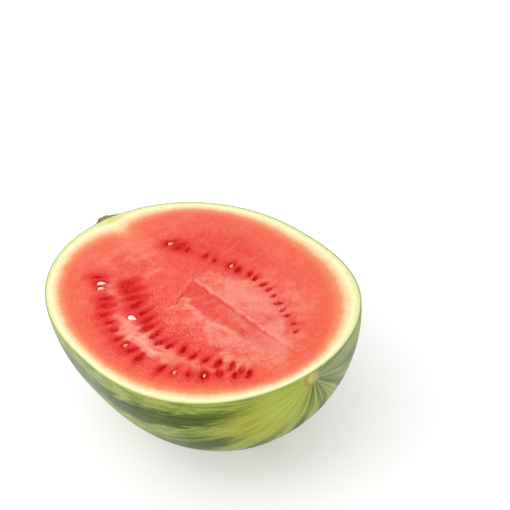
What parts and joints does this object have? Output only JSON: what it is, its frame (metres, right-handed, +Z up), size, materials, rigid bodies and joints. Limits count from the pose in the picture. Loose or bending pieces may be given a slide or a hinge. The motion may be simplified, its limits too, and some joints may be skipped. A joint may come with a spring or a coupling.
{
  "type": "watermelon half",
  "caption": "Oval watermelon half cut lengthwise, with red flesh, pale rind, striped green skin and rows of small seed hollows.",
  "frame": {"origin": "middle of the base of the bounding box, on the plane of the small flat spot that the half rests on", "axes": "+X along the fruit from the stem end to the blossom end, +Z up and out of the cut side, +Y to the left when facing the blossom end"},
  "size_m": [0.296, 0.232, 0.1175],
  "materials": {
    "watermelon": "moist red flesh on the cut side, waxy striped green skin on the round side"
  },
  "bodies": {
    "root": {"watermelon_half": "watermelon"}
  },
  "joints": []
}
